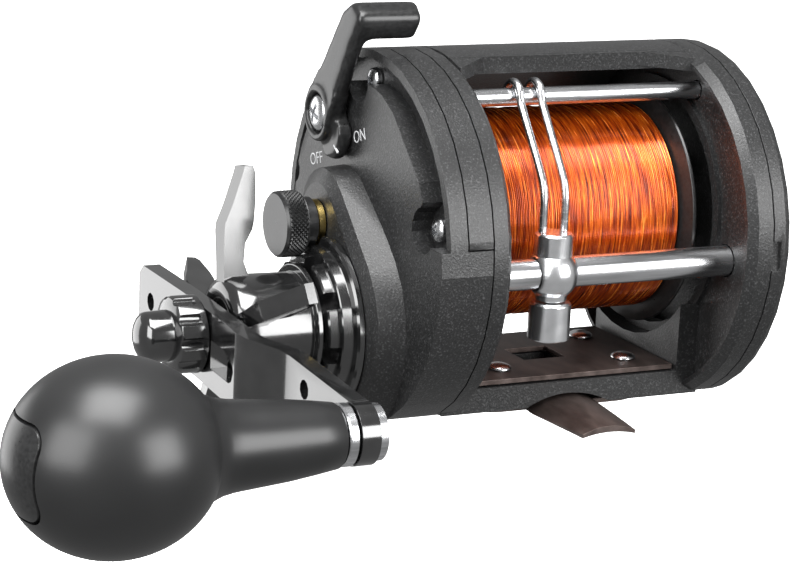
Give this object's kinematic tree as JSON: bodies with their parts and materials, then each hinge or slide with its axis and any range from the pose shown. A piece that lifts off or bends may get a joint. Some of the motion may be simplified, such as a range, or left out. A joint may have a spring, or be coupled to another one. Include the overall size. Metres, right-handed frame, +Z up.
{
  "type": "trolling reel",
  "caption": "Conventional level-wind fishing reel with round side plates, star drag, cranked handle with ball knob, free-spool lever, traversing line guide and rod foot.",
  "frame": {"origin": "centre of the flat underside of the reel foot, where it meets the rod seat", "axes": "+X along the spool axis from the crank side to the far side plate, -Y the way the line leaves towards the rod tip, +Z up from the rod"},
  "size_m": [0.167, 0.1115, 0.0898],
  "materials": {
    "graphite": "fine-textured moulded graphite",
    "gloss_black": "gloss black anodised",
    "satin_black": "satin black",
    "grip": "satin dark grey",
    "polished": "polished",
    "stainless": "satin stainless",
    "foot_metal": "dark bronze brown",
    "brass": "satin",
    "carbon": "dull",
    "line": "clear copper orange"
  },
  "bodies": {
    "root": {"frame": "graphite", "reel_foot": "foot_metal", "foot_clamp_plate": "foot_metal", "foot_rivet_1": "stainless", "foot_rivet_2": "stainless", "foot_rivet_3": "stainless", "foot_rivet_4": "stainless", "spool_bearing_left": "stainless", "spool_bearing_right": "stainless", "crank_side_plate": "graphite", "gear_cover": "graphite", "cover_screw_1": "stainless", "cover_screw_2": "stainless", "cover_screw_3": "stainless", "cover_screw_4": "stainless", "shaft_collar": "gloss_black", "anti_reverse_bearing": "stainless", "idler_pin": "stainless", "cast_control_seat": "brass", "guide_rod": "stainless", "worm_tube": "stainless", "far_side_cover": "graphite", "far_cover_screw_1": "stainless", "far_cover_screw_2": "stainless", "far_cover_screw_3": "stainless"},
    "spool": {"spool": "satin_black", "line_pack": "line", "spool_shaft": "stainless", "click_ratchet": "stainless"},
    "crank": {"crank_shaft": "stainless", "main_gear": "brass", "wind_drive_gear": "brass", "drag_washer_inner": "carbon", "drag_washer_metal": "stainless", "pressure_plate": "stainless", "clutch_sleeve": "stainless", "spring_washer": "stainless", "handle_arm": "gloss_black", "handle_nut": "gloss_black", "knob_spindle": "stainless", "knob_collar": "stainless"},
    "star": {"star_drag": "gloss_black"},
    "knob": {"knob": "grip", "knob_cap": "satin_black"},
    "cast_cap": {"cast_control_cap": "satin_black"},
    "lever": {"freespool_lever": "satin_black", "lever_screw": "stainless", "clutch_cam": "stainless"},
    "yoke": {"clutch_yoke": "stainless"},
    "pinion": {"pinion": "brass"},
    "idler": {"idler_gear": "brass"},
    "worm": {"worm_shaft": "stainless", "worm_gear": "brass"},
    "line_guide": {"line_guide_block": "polished", "pawl_cap": "polished", "pawl": "stainless", "guide_wire_left": "stainless", "guide_wire_right": "stainless"},
    "clicker": {"clicker_button": "satin_black"}
  },
  "joints": [
    {"name": "handle_spin", "type": "hinge", "parent": "root", "child": "crank", "pos_m": [0, -0.0018, 0.0176], "axis": [1, 0, 0], "continuous": true},
    {"name": "spool_spin", "type": "hinge", "parent": "root", "child": "spool", "pos_m": [0, 0.005, 0.036], "axis": [1, 0, 0], "continuous": true},
    {"name": "star_turn", "type": "hinge", "parent": "crank", "child": "star", "pos_m": [0, -0.0018, 0.0176], "axis": [1, 0, 0], "range_deg": [-150, 150]},
    {"name": "knob_spin", "type": "hinge", "parent": "crank", "child": "knob", "pos_m": [0, -0.0588, 0.0143], "axis": [1, 0, 0], "continuous": true},
    {"name": "cast_cap_turn", "type": "hinge", "parent": "root", "child": "cast_cap", "pos_m": [0, 0.005, 0.036], "axis": [1, 0, 0], "range_deg": [-180, 180]},
    {"name": "lever_swing", "type": "hinge", "parent": "root", "child": "lever", "pos_m": [0, 0.0112, 0.0561], "axis": [1, 0, 0], "range_deg": [-50, 5]},
    {"name": "yoke_slide", "type": "slide", "parent": "root", "child": "yoke", "axis": [1, 0, 0], "range_m": [-0.0017, 0.0003]},
    {"name": "pinion_spin", "type": "hinge", "parent": "yoke", "child": "pinion", "pos_m": [0, 0.005, 0.036], "axis": [1, 0, 0], "continuous": true},
    {"name": "idler_spin", "type": "hinge", "parent": "root", "child": "idler", "pos_m": [0, -0.01272, 0.02603], "axis": [1, 0, 0], "continuous": true},
    {"name": "worm_spin", "type": "hinge", "parent": "root", "child": "worm", "pos_m": [0, -0.0239, 0.0304], "axis": [1, 0, 0], "continuous": true},
    {"name": "guide_travel", "type": "slide", "parent": "root", "child": "line_guide", "axis": [1, 0, 0], "range_m": [-0.0095, 0.0305]},
    {"name": "clicker_slide", "type": "slide", "parent": "root", "child": "clicker", "axis": [0, 0, 1], "range_m": [0, 0.0046]}
  ],
  "couplings": [
    {"joint": "spool_spin", "follows": "handle_spin", "ratio": -3.7333},
    {"joint": "pinion_spin", "follows": "handle_spin", "ratio": -3.7333},
    {"joint": "idler_spin", "follows": "handle_spin", "ratio": -1.0909},
    {"joint": "worm_spin", "follows": "handle_spin", "ratio": 1.3333},
    {"joint": "yoke_slide", "follows": "lever_swing", "m_per_rad": 0.0018}
  ]
}
